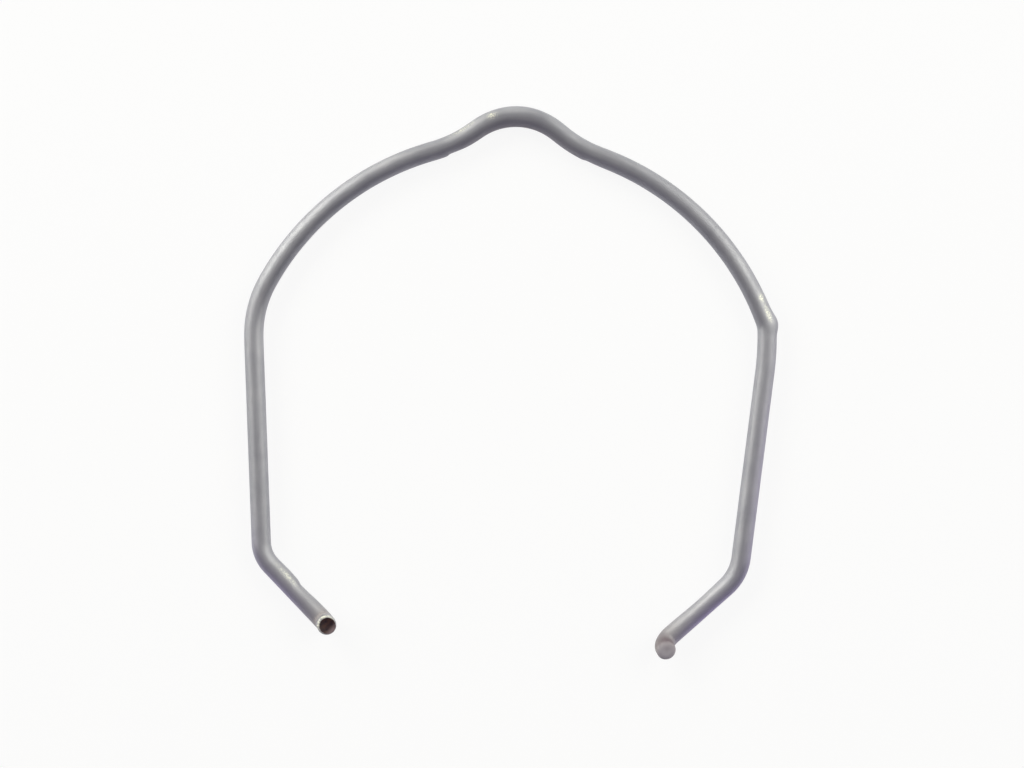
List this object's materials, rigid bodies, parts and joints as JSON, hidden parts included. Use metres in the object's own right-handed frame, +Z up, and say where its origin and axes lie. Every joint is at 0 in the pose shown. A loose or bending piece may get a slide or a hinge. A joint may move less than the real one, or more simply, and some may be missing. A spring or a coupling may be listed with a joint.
{
  "type": "spring clip",
  "caption": "Wire spring clip: an open ring with a pry hump, legs that lean in, and inturned feet with upturned tips, which snaps over a collar and holds it.",
  "frame": {"origin": "on the axis of the ring, at the level of the surface that the clip lies on", "axes": "+Z up out of the clip's plane, the way the tips point; +Y towards the hump; +X across the legs"},
  "size_m": [0.0692, 0.0696, 0.0044],
  "materials": {
    "plated_wire": "satin zinc plate"
  },
  "bodies": {
    "root": {"spring_clip": "plated_wire"}
  },
  "joints": []
}
